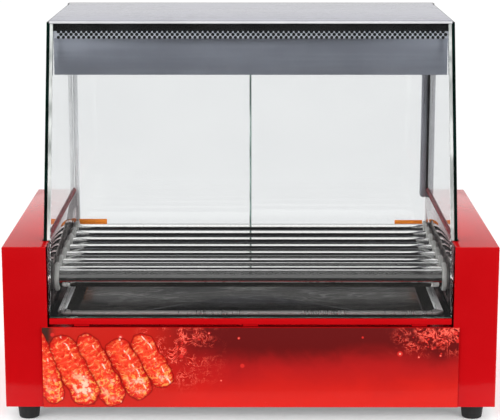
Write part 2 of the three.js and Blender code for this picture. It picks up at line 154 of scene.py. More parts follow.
def painted_red():
    """Gloss powder paint: deep red with a fine orange peel and faint handling marks."""
    made = Shader("red_paint", Metallic=0.0, IOR=1.25)
    cloud = made.noise(made.place(), 9, 4)
    made.set("Base Color", made.mix(made.steps(cloud, 0.3, 0.7), (0.47, 0.003, 0.005), (0.5, 0.0042, 0.0067)))
    smear = made.noise(made.place((3, 1, 6)), 14, 5, 0.7)
    made.set("Roughness", made.steps(smear, 0.3, 0.75, 0.1, 0.16))
    made.bump(made.noise(made.place(), 420, 2), 0.00002, 0.25)
    return made.material


def brushed(name, colour, grain, roughness, spread=0.1, distance=0.00002, metal=1.0):
    """Metal brushed along the axis where grain is small: streaked roughness, fine scratches and stains."""
    made = Shader(name, Metallic=metal)
    streak = made.noise(made.place(grain), 1.0, 4, 0.65)
    stain = made.noise(made.place(), 11, 4, 0.6)
    worn = tuple(c * 0.78 for c in colour)
    tone = made.math("ADD", made.math("MULTIPLY", streak, 0.55), made.math("MULTIPLY", stain, 0.45))
    made.set("Base Color", made.mix(made.steps(tone, 0.35, 0.65), worn, colour))
    made.set("Roughness", made.steps(tone, 0.3, 0.7, roughness - spread / 2, roughness + spread / 2))
    made.bump(streak, distance, 0.5)
    return made.material


def galvanised():
    """Zinc-coated sheet: small crystals of slightly different grey."""
    made = Shader("galvanised", Metallic=0.9)
    cells = made.node("ShaderNodeTexVoronoi", {"Vector": made.place(), "Scale": 160.0})
    tone = made.dot(cells.outputs["Color"], (0.33, 0.33, 0.33))
    made.set("Base Color", made.mix(tone, (0.26, 0.27, 0.28), (0.42, 0.43, 0.44)))
    made.set("Roughness", made.steps(tone, 0.2, 0.9, 0.34, 0.52))
    made.bump(made.noise(made.place(), 300, 3), 0.00003, 0.4)
    return made.material


def polished_tube():
    """Bright roller tube: fine turning rings, drawing lines along it and dulled patches."""
    made = Shader("polished_tube", Metallic=1.0)
    rings = made.noise(made.place((900, 6, 6)), 1.0, 3, 0.6)
    lines = made.noise(made.place((1.5, 160, 160)), 1.0, 2, 0.5)
    dull = made.noise(made.place((4, 12, 12)), 1.0, 3, 0.5)
    tone = made.math("ADD", made.math("MULTIPLY", lines, 0.3), made.math("MULTIPLY", dull, 0.7))
    made.set("Base Color", made.mix(made.steps(tone, 0.35, 0.65), (0.86, 0.845, 0.82), (0.95, 0.94, 0.92)))
    made.set("Roughness", made.steps(dull, 0.3, 0.75, 0.02, 0.045))
    made.bump(rings, 0.000002, 0.1)
    return made.material


def drawn_steel():
    """The tray's pressed steel, slightly wavy, with painted reflections: a dark cloudy tone stands in for the
    dark undersides it mirrors, thin pale streaks for mirrored rollers.
    """
    made = Shader("tray_steel_painted_reflections", Metallic=0.95)
    flow = made.noise(made.place((6, 20, 20)), 1.0, 5, 0.6, 1.4)
    painted_reflection_streak = made.math("ABSOLUTE", made.math("SUBTRACT", flow, 0.5))
    # Painted reflection: a dark tone for mirrored shade, with near-white streaks along the flow's middle
    tone = made.mix(made.steps(flow, 0.35, 0.65), (0.06, 0.054, 0.047), (0.16, 0.145, 0.125))
    made.set("Base Color", made.mix(made.steps(painted_reflection_streak, 0.022, 0.0, 0.0, 0.3), tone, (0.9, 0.87, 0.83)))
    made.set("Roughness", made.steps(flow, 0.3, 0.7, 0.1, 0.18))
    made.bump(flow, 0.0012, 0.08)
    return made.material


def moulded(name, colour, roughness, grain=900, depth=0.00004, variation=0.25, **sockets):
    """Moulded plastic or rubber: a fine grain and a slow change of tone."""
    made = Shader(name, **sockets)
    cloud = made.noise(made.place(), 40, 4)
    light = tuple(min(1.0, c * (1 + variation) + 0.004) for c in colour)
    made.set("Base Color", made.mix(made.steps(cloud, 0.3, 0.7), colour, light))
    made.set("Roughness", made.steps(cloud, 0.25, 0.75, roughness - 0.06, roughness + 0.06))
    made.bump(made.noise(made.place(), grain, 2), depth, 0.5)
    return made.material


def let_light_through(made):
    """Lets lamps' light pass the glass, so that what stands behind it is lit."""
    is_shadow = made.node("ShaderNodeLightPath").outputs["Is Shadow Ray"]
    clear = made.node("ShaderNodeBsdfTransparent")
    inputs = {0: is_shadow, 1: made.principled.outputs[0], 2: clear.outputs[0]}
    mixed = made.node("ShaderNodeMixShader", inputs)
    made.tree.links.new(mixed.outputs[0], made.output.inputs["Surface"])
    return made.material


def clear_glass():
    """Toughened pane: almost colourless, with a few wiping marks."""
    made = Shader("pane", Roughness=0.0, IOR=1.5, Transmission_Weight=1.0)
    wiped = made.noise(made.place((1, 1, 2)), 7, 5, 0.65)
    made.set("Base Color", made.mix(made.steps(wiped, 0.35, 0.65), (0.925, 0.935, 0.94), (0.94, 0.95, 0.953)))
    return let_light_through(made)


def glass_edge(name, dark, light, **sockets):
    """A ground glass edge or a bead of seal, cloudy between two tones."""
    made = Shader(name, **sockets)
    share = made.noise(made.place((8, 8, 5)), 5, 3)
    made.set("Base Color", made.mix(made.steps(share, 0.35, 0.65), dark, light))
    made.set("Roughness", made.steps(made.noise(made.place(), 120, 3), 0.3, 0.7, 0.1, 0.22))
    return made.material


MATERIALS = {
    "red": painted_red(),
    "steel_x": brushed("brushed_steel_x", (0.37, 0.37, 0.425), (2, 240, 240), 0.28, 0.06, 0.000006, 0.6),
    # Side plates: polished steel, its dark maroon tint a painted reflection of the red end boxes and dark
    # rollers
    "steel_y_painted_reflection": brushed("brushed_steel_y", (0.2, 0.06, 0.07), (500, 4, 500), 0.08, 0.05, 0.000006),
    "valance": brushed("hood_valance_steel", (0.175, 0.187, 0.22), (2, 60, 60), 0.34, 0.06, 0.000006, 0.55),
    # Hood front fold near-white, a painted highlight; hood underside near-black, painted shade
    "lip": brushed("fold_painted_highlight", (0.9, 0.9, 0.93), (3, 60, 60), 0.4, 0.08, 0.000004, 0.25),
    "hood_under": brushed("shaded_hood_steel", (0.03, 0.03, 0.032), (2, 60, 60), 0.4, 0.1, 0.000006),
    "tray": drawn_steel(),
    # The tray's own steel in a lighter copy for the rim and a near-white one for the side flanges: painted
    # highlights
    "tray_flange_painted_highlight": brushed("tray_flange_steel", (0.95, 0.95, 0.95), (260, 6, 260), 0.3, 0.2, 0.00001, 0.3),
    "tray_rim_painted_highlight": brushed("tray_rim_steel", (0.47, 0.44, 0.43), (260, 6, 40), 0.3, 0.2, 0.00001, 0.75),
    "aluminium": brushed("anodised_aluminium", (0.5, 0.5, 0.51), (6, 500, 500), 0.32),
    # The two pulls are alike: a pale copy of their metal as painted highlight, a dark copy as painted shade
    "pull_painted_highlight": brushed("pull_painted_light_metal", (0.66, 0.66, 0.67), (300, 300, 5), 0.35, 0.1, 0.000008, 0.3),
    "pull_painted_shade": brushed("pull_painted_shade_metal", (0.31, 0.305, 0.34), (300, 300, 5), 0.3, 0.1, 0.000008, 0.6),
    "zinc": galvanised(),
    "tube": polished_tube(),
    "screw": brushed("bright_zinc_screws", (0.62, 0.62, 0.6), (200, 200, 200), 0.28),
    "ptfe": moulded("ptfe", (0.22, 0.22, 0.21), 0.45, 700),
    "black": moulded("black_plastic", (0.012, 0.012, 0.013), 0.38, 1400),
    "rubber": moulded("rubber", (0.008, 0.008, 0.008), 0.72, 800, 0.00008),
    "channel": moulded("black_channel", (0.002, 0.002, 0.002), 0.5, 500, IOR=1.2),
    "gasket": moulded("silicone_gasket", (0.09, 0.006, 0.01), 0.5, 500, IOR=1.2),
    "ceramic_ink": moulded("black_ceramic_ink", (0.001, 0.001, 0.0012), 0.5, 1600, 0.00001, 0.2, IOR=1.1),
    "pale_ink": moulded("pale_ceramic_ink", (0.26, 0.27, 0.3), 0.5, 1600, 0.00001, 0.1),
    "orange": moulded("orange_film", (0.78, 0.21, 0.001), 0.5, 600, 0.00001),
    "red_rocker": moulded("red_rocker", (0.42, 0.008, 0.006), 0.25, 900, 0.00001),
    "white": moulded("white_marks", (0.7, 0.7, 0.68), 0.45, 600, 0.00001, 0.08),
    "amber": moulded("amber_lens", (0.75, 0.2, 0.01), 0.15, 300, 0.00002, 0.3, Coat_Weight=0.6),
    "ceramic": moulded("ceramic", (0.62, 0.6, 0.54), 0.6, 500, 0.00004, 0.1),
    "pane": clear_glass(),
    "pane_edge": glass_edge("pane_edge", (0.01, 0.045, 0.036), (0.05, 0.12, 0.1)),
    "side_edge": glass_edge("side_pane_edge", (0.0005, 0.003, 0.002), (0.002, 0.011, 0.008), IOR=1.15),
    "seal": glass_edge("clear_seal", (0.3, 0.32, 0.31), (0.68, 0.7, 0.68)),
}


# ---------------------------------------------------------------- mesh helpers

def middle_of(node):
    low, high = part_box(node)
    return (low + high) / 2


def millimetres(*points):
    return [tuple(value * MM for value in point) for point in points]


def finish_piece(name, bm, body, materials, replaces=(), smooth=30, modifiers=()):
    """Makes a piece of a bmesh: it rides on a body, takes its finishes from MATERIALS and hides the CAD nodes
    it replaces.
    """
    bmesh.ops.recalc_face_normals(bm, faces=bm.faces)
    mesh = bpy.data.meshes.new(name)
    bm.to_mesh(mesh)
    bm.free()
    for material in materials:
        mesh.materials.append(MATERIALS[material])
    mesh.shade_smooth()
    mesh.set_sharp_from_angle(angle=math.radians(smooth))
    piece = bpy.data.objects.new(name, mesh)
    bpy.context.scene.collection.objects.link(piece)
    for kind, settings in modifiers:
        modifier = piece.modifiers.new(kind.title(), kind)
        for key, value in settings.items():
            setattr(modifier, key, value)
    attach(piece, body)
    if replaces:
        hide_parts(*replaces)


def stretched_cube(bm, low, high):
    """A cube stretched between two corners; returns its vertices, size and middle."""
    verts = bmesh.ops.create_cube(bm, size=1.0)["verts"]
    size = Vector(high) - Vector(low)
    middle = (Vector(high) + Vector(low)) / 2
    matrix = Matrix.Translation(middle) @ Matrix.Diagonal((*size, 1.0))
    bmesh.ops.transform(bm, matrix=matrix, verts=verts)
    return verts, size, middle


def add_block(bm, low, high, bevel=0.0, segments=2, material=0):
    """A block between two corners with rounded edges."""
    verts = stretched_cube(bm, low, high)[0]
    for face in {face for vert in verts for face in vert.link_faces}:
        face.material_index = material
    if bevel > 0:
        edges = list({edge for vert in verts for edge in vert.link_edges})
        bmesh.ops.bevel(bm, geom=edges, offset=bevel, segments=segments, affect="EDGES", profile=0.5)


def add_lathe(bm, profile, axis, centre, segments=48, material=0):
    """A profile of (radius, distance along the axis) turned about an axis through centre.

    The profile closes on itself, or starts and ends on the axis.
    """
    frame_of = {
        "X": (Vector((1, 0, 0)), Vector((0, 1, 0)), Vector((0, 0, 1))),
        "Y": (Vector((0, 1, 0)), Vector((0, 0, 1)), Vector((1, 0, 0))),
        "Z": (Vector((0, 0, 1)), Vector((1, 0, 0)), Vector((0, 1, 0))),
    }
    along, first, second = frame_of[axis]
    closed = profile[0] == profile[-1]
    rings = []
    for radius, distance in profile[:-1] if closed else profile:
        base = Vector(centre) + along * distance
        if radius == 0:
            rings.append([bm.verts.new(base)])
            continue
        ring = []
        for k in range(segments):
            angle = 2 * math.pi * k / segments
            ring.append(bm.verts.new(base + radius * (math.cos(angle) * first + math.sin(angle) * second)))
        rings.append(ring)
    for lower, upper in zip(rings, rings[1:] + rings[:1] if closed else rings[1:]):
        for k in range(segments):
            corners = [lower[k % len(lower)], lower[(k + 1) % len(lower)]]
            corners += [upper[(k + 1) % len(upper)], upper[k % len(upper)]]
            unique = list(dict.fromkeys(corners))
            if len(unique) > 2:
                bm.faces.new(unique).material_index = material


def add_prism(bm, outline, low, high, axis="X", material=0, bevel=0.0):
    """A closed outline of (a, b) points run along an axis between low and high."""
    place = {
        "X": lambda a, b, t: (t, a, b),
        "Y": lambda a, b, t: (a, t, b),
        "Z": lambda a, b, t: (a, b, t),
    }[axis]
    start = [bm.verts.new(place(a, b, low)) for a, b in outline]
    end = [bm.verts.new(place(a, b, high)) for a, b in outline]
    faces = [bm.faces.new(start), bm.faces.new(end[::-1])]
    count = len(outline)
    for k in range(count):
        nxt = (k + 1) % count
        faces.append(bm.faces.new((start[k], start[nxt], end[nxt], end[k])))
    for face in faces:
        face.material_index = material
    if bevel > 0:
        edges = list({edge for face in faces for edge in face.edges})
        bmesh.ops.bevel(bm, geom=edges, offset=bevel, segments=2, affect="EDGES", profile=0.5)


def folded_box(bm, low, high, missing, radius, segments=4):
    """A box's skin without the missing sides, its remaining folds rounded. Sides are such as '-z'."""
    verts, size, middle = stretched_cube(bm, low, high)
    gone = []
    for face in {face for vert in verts for face in vert.link_faces}:
        away = face.calc_center_median() - middle
        axis = max(range(3), key=lambda i: abs(away[i]) / size[i])
        if ("+" if away[axis] > 0 else "-") + "xyz"[axis] in missing:
            gone.append(face)
    bmesh.ops.delete(bm, geom=gone, context="FACES")
    folds = [edge for edge in bm.edges if edge.is_manifold]
    bmesh.ops.bevel(bm, geom=folds, offset=radius, segments=segments, affect="EDGES", profile=0.5)


# Modifiers that give a skin its thickness inward and break the cut edges
SHEET_METAL = (
    ("SOLIDIFY", {"thickness": SHEET, "offset": -1.0, "use_even_offset": True}),
    ("BEVEL", {"width": 0.3 * MM, "segments": 2, "limit_method": "ANGLE", "angle_limit": math.radians(50)}),
)


def refine(node, body, materials, bevel, segments=2, pick=None, angle=20):
    """A finer copy of a CAD node: its flats merged, its edges rounded. pick sets each face's material."""
    bm = bmesh.new()
    bm.from_mesh(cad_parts[node].data)
    bmesh.ops.remove_doubles(bm, verts=bm.verts, dist=2e-6)
    bmesh.ops.dissolve_limit(bm, angle_limit=math.radians(0.5), verts=bm.verts, edges=bm.edges)
    for face in bm.faces:
        face.normal_update()
        face.material_index = pick(face) if pick else 0
    sharp = [edge for edge in bm.edges if edge.is_manifold and edge.calc_face_angle() > math.radians(angle)]
    bmesh.ops.bevel(
        bm, geom=sharp, offset=bevel, segments=segments, affect="EDGES", profile=0.5, clamp_overlap=True
    )
    finish_piece(node + "_finish", bm, body, materials, (node,))


# ---------------------------------------------------------------- fasteners

def screw(name, at, axis, sign):
    """A pan-head screw with a cross in its head, which stands on the surface at the point at."""
    bm = bmesh.new()
    radius = 3.2 * MM
    height = radius * 0.55
    profile = [(radius, 0), (radius, height * 0.35), (radius * 0.8, height * 0.8), (radius * 0.45, height)]
    profile = [(r, sign * d) for r, d in profile] + [(0, sign * height)]
    add_lathe(bm, [(0, 0)] + profile, axis, at, 24)
    long, short = radius * 0.62, radius * 0.14
    spans = {"X": ("Y", "Z"), "Y": ("X", "Z"), "Z": ("X", "Y")}[axis]
    index = "XYZ".index
    for first, second in (spans, spans[::-1]):
        low, high = list(at), list(at)
        low[index(first)] -= long
        high[index(first)] += long
        low[index(second)] -= short
        high[index(second)] += short
        ends = sorted((at[index(axis)] + sign * height * 0.5, at[index(axis)] + sign * height * 1.04))
        low[index(axis)], high[index(axis)] = ends
        add_block(bm, low, high, material=1)
    finish_piece(name, bm, "body", ("screw", "black"))


# ---------------------------------------------------------------- body

def end_covers():
    for side, sign in SIDES:
        low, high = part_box(side + "_end_cover")
        bm = bmesh.new()
        inner = "-x" if sign > 0 else "+x"
        folded_box(bm, low, high, ("-z", inner), 1.6 * MM)
        finish_piece(
            side + "_cover_skin", bm, "body", ("red",), (side + "_end_cover",), 25, SHEET_METAL
        )
        outer = high.x if sign > 0 else low.x
        for number, y in enumerate((low.y + 30 * MM, (low.y + high.y) / 2, high.y - 30 * MM), 1):
            screw(f"{side}_cover_screw_{number}", (outer, y, low.z + 12 * MM), "X", sign)


def side_glass_gaskets():
    """The dark bead on each side of the side panes' feet."""
    for side, _ in SIDES:
        low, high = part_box(side + "_side_glass")
        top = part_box(side + "_end_cover")[1].z
        foot = top + 0.1 * MM
        bm = bmesh.new()
        for x, lean in ((low.x, -1), (high.x, 1)):
            outline = [(x, foot), (x + lean * 2.2 * MM, foot), (x, top + 2.6 * MM)]
            add_prism(bm, outline, low.y + 2 * MM, high.y, "Y", bevel=0.3 * MM)
        finish_piece(side + "_glass_gasket", bm, "body", ("gasket",))


def front_pane_line(pick):
    """The head and foot points of the front pane's outer face, where pick is min, or inner face, max."""
    low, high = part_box("front_glass")
    pane = [vert.co.copy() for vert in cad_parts["front_glass"].data.vertices]
    head = pick((co for co in pane if co.z > high.z - 0.1 * MM), key=lambda co: co.y)
    foot = pick((co for co in pane if co.z < low.z + 0.1 * MM), key=lambda co: co.y)
    return head, foot


def front_glass_seals():
    """Clear beads that join the front pane's sides to the side panes, above the box tops."""
    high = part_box("front_glass")[1]
    head, foot = front_pane_line(min)
    slope = (head.y - foot.y) / (head.z - foot.z)
    levels = (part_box("left_end_cover")[1].z + 1 * MM, high.z - 0.5 * MM)
    outline = [(head.y + (z - head.z) * slope + 0.3 * MM, z) for z in levels]
    outline += [(y + 4.6 * MM, z) for y, z in outline[::-1]]
    inner, outer = high.x + 0.05 * MM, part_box("right_side_glass")[0].x - 0.1 * MM
    for side, sign in SIDES:
        bm = bmesh.new()
        add_prism(bm, outline, *sorted((sign * inner, sign * outer)), "X", bevel=0.4 * MM)
        finish_piece(side + "_front_glass_seal", bm, "body", ("seal",))


def front_panel():
    def printed_face(face):
        return int(face.normal.y < -0.9)

    refine("front_panel", "body", ("red", "print"), 0.3 * MM, 2, printed_face)


def roller_centre(number):
    centre = middle_of(f"heater_{number}")
    return Vector((0, centre.y, centre.z))


def gear_outline(teeth, tip, root):
    """(a, b) points of a sprocket with rounded gullets, a tooth pointing along +b."""
    points = []
    for tooth in range(teeth):
        for turn in (-0.5, -0.38, -0.24, -0.12, 0.12, 0.24, 0.38):
            share = min(1.0, max(0.0, (0.5 - abs(turn)) / 0.38))
            radius = root + (tip - root) * math.sin(share * math.pi / 2) ** 1.6
            angle = math.pi / 2 + (tooth + turn) * 2 * math.pi / teeth
            points.append((radius * math.cos(angle), radius * math.sin(angle)))
    return points


def rollers():
    outer, inner, ease = 12.5 * MM, 11.5 * MM, 0.3 * MM
    disc_left, disc_right, teeth, tip, root = -252.9 * MM, -250.1 * MM, 16, 17.6 * MM, 14.7 * MM
    for number in ROLLERS:
        node = f"roller_{number}"
        low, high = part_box(node)
        centre = roller_centre(number)
        bm = bmesh.new()
        profile = [
            (inner, low.x), (outer - ease, low.x), (outer, low.x + ease), (outer, high.x - ease),
            (outer - ease, high.x), (inner, high.x), (inner, low.x),
        ]
        add_lathe(bm, profile, "X", centre, 96)
        disc = [(centre.y + a, centre.z + b) for a, b in gear_outline(teeth, tip, root)]
        add_prism(bm, disc, disc_left, disc_right, "X", material=1)
        finish_piece(node + "_tube", bm, node, ("tube", "zinc"), (node,))


def bushes():
    for number in ROLLERS:
        centre = roller_centre(number)
        for side, sign in SIDES:
            node = f"{side}_bush_{number}"
            low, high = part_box(node)
            face = low.x if sign > 0 else high.x
            end = high.x if sign > 0 else low.x
            radius, hub, bore = 17.4 * MM, 14.7 * MM, 12.8 * MM
            flange = face + sign * 7.3 * MM
            bm = bmesh.new()
            profile = [
                (bore, face + sign * 1.2 * MM), (bore + 1.2 * MM, face), (radius - 2.6 * MM, face),
                (radius - 0.9 * MM, face + sign * 0.6 * MM), (radius, face + sign * 2.4 * MM),
                (radius, flange - sign * 2.4 * MM), (hub + 0.5 * MM, flange - sign * 1.8 * MM),
                (hub + 0.5 * MM, flange), (hub, flange), (hub, end), (bore, end),
                (bore, face + sign * 1.2 * MM),
            ]
            add_lathe(bm, profile, "X", centre, 56)
            finish_piece(node + "_moulding", bm, "body", ("ptfe",), (node,))


def glass_panes():
    def by_width(face):
        return 0 if abs(face.normal.x) > 0.5 else 1

    def by_front(face):
        return 0 if abs(face.normal.y) > 0.5 else 1

    for side, _ in SIDES:
        refine(side + "_side_glass", "body", ("pane", "side_edge"), 0.4 * MM, 1, by_width)
    refine("front_glass", "body", ("pane", "pane_edge"), 0.4 * MM, 1, by_front)
    for side, _ in SIDES:
        refine(side + "_door", side + "_door", ("pane", "pane_edge"), 0.4 * MM, 1, by_front)


def hood_band():
    """The print inside the front pane's head: a black strip, and below it rows of dots on a pale one."""
    top_rear, foot_rear = front_pane_line(max)
    down = Vector((0, foot_rear.y - top_rear.y, foot_rear.z - top_rear.z)).normalized()
    out = Vector((1, 0, 0)).cross(down)
    if out.y < 0:
        out = -out
    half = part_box("front_glass")[1].x - 0.4 * MM
    head = Vector((0, top_rear.y, top_rear.z)) + out * 0.06 * MM
    thick = out * 0.12 * MM
    strip_end, dot_radius, pitch, dot_sides = 12.2 * MM, 2.3 * MM, 6.1 * MM, 10
    rows = [12.8 * MM, 16.3 * MM, 19.8 * MM]  # down from the pane's head
    bm = bmesh.new()

    def plate(points, material=0):
        front = [bm.verts.new(p) for p in points]
        back = [bm.verts.new(p + thick) for p in points]
        bm.faces.new(front).material_index = material
        bm.faces.new(back[::-1]).material_index = material
        for k in range(len(points)):
            nxt = (k + 1) % len(points)
            bm.faces.new((front[k], back[k], back[nxt], front[nxt])).material_index = material

    def stripe(top, foot, back, material):
        corners = ((-half, top), (half, top), (half, foot), (-half, foot))
        plate([head + back + Vector((x, 0, 0)) + down * w for x, w in corners], material)

    stripe(0.5 * MM, strip_end, Vector(), 0)
    stripe(strip_end, rows[-1] + dot_radius * 0.5, thick * 1.5, 1)
    columns = int(half / pitch)
    for row, w in enumerate(rows):
        radius = dot_radius * (1.0 - 0.06 * row)
        shift = pitch / 2 if row % 2 else 0.0
        for column in range(-columns, columns + 1):
            x = column * pitch + shift
            if abs(x) > half - 2 * MM:
                continue
            centre = head + Vector((x, 0, 0)) + down * w
            ring = []
            for k in range(dot_sides):
                angle = 2 * math.pi * k / dot_sides
                beside = Vector((radius * math.cos(angle), 0, 0))
                ring.append(centre + beside + down * radius * math.sin(angle))
            plate(ring)
    finish_piece("front_glass_band", bm, "body", ("ceramic_ink", "pale_ink"))


def hood_metal():
    # One steel sheet: the front fold in a near-white copy as painted highlight, the underside in a near-black
    # copy as painted shade
    def by_side(face):
        if face.normal.y < -0.9:
            return 1
        return 2 if face.normal.z < -0.5 else 0

    refine("hood_top", "body", ("steel_x", "lip", "hood_under"), 0.5 * MM, 3, by_side)
    refine("hood_valance", "body", ("valance",), 0.4 * MM, 3)
    refine("upper_door_track", "body", ("aluminium",), 0.4 * MM, 2)
    refine("lower_door_track", "body", ("aluminium",), 0.4 * MM, 2)


def side_plates():
    # Their dark maroon tint is a painted reflection of the red end boxes and dark rollers
    for side, _ in SIDES:
        refine(side + "_side_plate", "body", ("steel_y_painted_reflection",), 0.3 * MM, 2)


def drip_tray():
    """A pressed pan with a cross-broken floor, sloping walls and a wide rim, its rim and side flanges in
    painted highlights; its pull plate and grip.
    """
    low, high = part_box("drip_tray")
    rim_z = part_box("front_rail")[1].z + 1.8 * MM
    rear = high.y - 16.2 * MM
    bm = bmesh.new()

    def loop(inset, z, corner):
        x0, x1 = low.x + inset, high.x - inset
        y0, y1 = low.y + inset, rear - inset
        points = [
            (x0 + corner, y0), (x1 - corner, y0), (x1, y0 + corner), (x1, y1 - corner),
            (x1 - corner, y1), (x0 + corner, y1), (x0, y1 - corner), (x0, y0 + corner),
        ]
        return [bm.verts.new((x, y, z)) for x, y in points]

    side_runs, rim_levels = (2, 6), 4
    loops = [
        loop(0.2 * MM, rim_z - 2.2 * MM, 8 * MM), loop(0.2 * MM, rim_z - 0.5 * MM, 8 * MM),
        loop(0.8 * MM, rim_z, 8 * MM), loop(8.4 * MM, rim_z, 9 * MM),
        loop(9.2 * MM, rim_z - 0.8 * MM, 9 * MM),
        loop(17 * MM, low.z + 2.6 * MM, 10 * MM), loop(19 * MM, low.z + 1.6 * MM, 11 * MM),
    ]
    for level, (upper, lower) in enumerate(zip(loops, loops[1:])):
        for k in range(8):
            nxt = (k + 1) % 8
            face = bm.faces.new((upper[k], upper[nxt], lower[nxt], lower[k]))
            # Rim faces take a lighter copy of the tray's steel and the side flanges a near-white one: painted
            # highlights
            rim = 2 if k in side_runs else 1
            face.material_index = rim if level < rim_levels else 0
    middle = bm.verts.new((0, (low.y + rear) / 2, low.z + 3.4 * MM))
    floor = loops[-1]
    for k in range(8):
        bm.faces.new((floor[k], floor[(k + 1) % 8], middle))
    finish_piece(
        "drip_tray_pan", bm, "tray", ("tray", "tray_rim_painted_highlight", "tray_flange_painted_highlight"), ("drip_tray",), 20,
        (("SOLIDIFY", {"thickness": 0.8 * MM, "offset": 0.0}),),
    )
    bm = bmesh.new()
    folded_box(bm, (low.x, rear - 1.0 * MM, low.z), (high.x, rear + 0.2 * MM, high.z), (), 0.4 * MM, 2)
    finish_piece("tray_plate", bm, "tray", ("steel_x",))
    bm = bmesh.new()
    top = rim_z + 1.5 * MM
    profile = [
        (rear, top), (rear + 13.2 * MM, top), (rear + 14.7 * MM, top - 1.5 * MM),
        (rear + 14.7 * MM, top - 8 * MM), (rear + 13.5 * MM, top - 8 * MM),
        (rear + 13.5 * MM, top - 2 * MM), (rear + 12.7 * MM, top - 1.2 * MM), (rear, top - 1.2 * MM),
    ]
    add_prism(bm, profile, -70 * MM, 70 * MM, "X", bevel=0.25 * MM)
    finish_piece("tray_grip", bm, "tray", ("steel_x",))


def feet():
    for end in ("front", "rear"):
        for side, _ in SIDES:
            node = f"{end}_{side}_foot"
            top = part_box(node)[1].z
            centre = middle_of(node)
            bm = bmesh.new()
            profile = millimetres(
                (0, 4), (4, 4), (4.4, 0.6), (5.4, 0), (10.9, 0), (11.9, 0.8), (12.3, 3), (13.5, 15)
            ) + [(13.7 * MM, top - 0.4 * MM), (13.2 * MM, top), (0, top)]
            add_lathe(bm, profile, "Z", (centre.x, centre.y, 0), 40)
            finish_piece(node + "_moulding", bm, "body", ("rubber",), (node,))


# ---------------------------------------------------------------- doors

def door_pulls():
    # The pulls are alike; the left one's pale metal is a painted highlight, the right one's dark metal
    # painted shade
    refine("left_door_pull", "left_door", ("pull_painted_highlight",), 0.5 * MM, 3, angle=40)
    refine("right_door_pull", "right_door", ("pull_painted_shade",), 0.5 * MM, 3, angle=40)


def door_edges():
    """The ground chamfers where the doors overlap in the middle."""
    # Both chamfers are alike: the left takes the glass edge's green, the right the pale seal colour as a
    # painted highlight
    for side, tone in (("left", "pane_edge"), ("right", "seal")):
        low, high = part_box(side + "_door")
        edge = high.x if side == "left" else low.x
        inner = edge - 1.5 * MM if side == "left" else edge + 1.5 * MM
        bm = bmesh.new()
        near, far = sorted((edge, inner))
        add_block(bm, (near, low.y - 0.15 * MM, low.z + 1 * MM), (far, low.y + 0.1 * MM, high.z - 1 * MM))
        finish_piece(side + "_door_chamfer", bm, side + "_door", (tone,))


def door_trim():
    """The black channel on the right door's outer edge, beside its pull."""
    low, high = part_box("right_door")
    pull_low, pull_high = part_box("right_door_pull")
    bm = bmesh.new()
    inner, outer, wall = high.x - 3 * MM, high.x + 2 * MM, 1.2 * MM
    front, back = low.y - wall, high.y + wall
    profile = [
        (inner, front), (outer, front), (outer, back), (inner, back),
        (inner, high.y + 0.1 * MM), (high.x + 0.1 * MM, high.y + 0.1 * MM),
        (high.x + 0.1 * MM, low.y - 0.1 * MM), (inner, low.y - 0.1 * MM),
    ]
    add_prism(bm, profile, pull_low.z, pull_high.z, "Z", bevel=0.2 * MM)
    finish_piece("right_door_edge_channel", bm, "right_door", ("channel",))


def door_tags():
    """Plain orange strips at the doors' lower outer corners."""
    track_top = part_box("lower_door_track")[1].z
    inner, outer, heights = 198.4 * MM, 236.6 * MM, (9.5 * MM, 6.5 * MM)
    for (side, sign), height in zip(SIDES, heights):
        near, far = sorted((inner * sign, outer * sign))
        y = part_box(side + "_door")[0].y - 0.35 * MM
        bm = bmesh.new()
        add_block(bm, (near, y, track_top + 1 * MM), (far, y + 0.25 * MM, track_top + height), 0.1 * MM)
        finish_piece(side + "_door_tag", bm, side + "_door", ("orange",))


# ---------------------------------------------------------------- operator's side

def rear_panel():
    refine("rear_panel", "body", ("steel_x",), 0.3 * MM, 2)
    low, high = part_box("rear_panel")
    column, margin = 226 * MM, 10 * MM
    places = [(x, z) for x in (-column, 0.0, column) for z in (low.z + margin, high.z - margin)]
    for number, (x, z) in enumerate(places, 1):
        screw(f"rear_panel_screw_{number}", (x, high.y, z), "Y", 1)


def knobs():
    panel_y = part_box("rear_panel")[1].y
    for name in ("front_thermostat_knob", "rear_thermostat_knob"):
        x, _, z = middle_of(name)
        bm = bmesh.new()
        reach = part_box(name)[1].y - panel_y
        profile = millimetres(
            (0, -6.9), (3.1, -6.9), (3.1, 0.5), (18.4, 0.5), (18.9, 1.1), (18.9, 2.6), (18.0, 3.9),
            (15.6, 4.8), (11.4, 6.2), (10.6, 7.4),
        ) + [(9.9 * MM, reach - 1.4 * MM), (9.0 * MM, reach - 0.2 * MM), (0, reach - 0.2 * MM)]
        add_lathe(bm, profile, "Y", (x, panel_y, z), 72)
        add_block(
            bm, (x - 3.4 * MM, panel_y + 4.6 * MM, z - 15.3 * MM),
            (x + 3.4 * MM, panel_y + reach, z + 15.3 * MM), 1.3 * MM, 4,
        )
        add_block(
            bm, (x - 0.6 * MM, panel_y + reach - 0.3 * MM, z + 3 * MM),
            (x + 0.6 * MM, panel_y + reach + 0.05 * MM, z + 13.6 * MM), material=1,
        )
        finish_piece(name + "_moulding", bm, name, ("black", "white"), (name,), 35)
        dial_scale(name, x, panel_y, z)


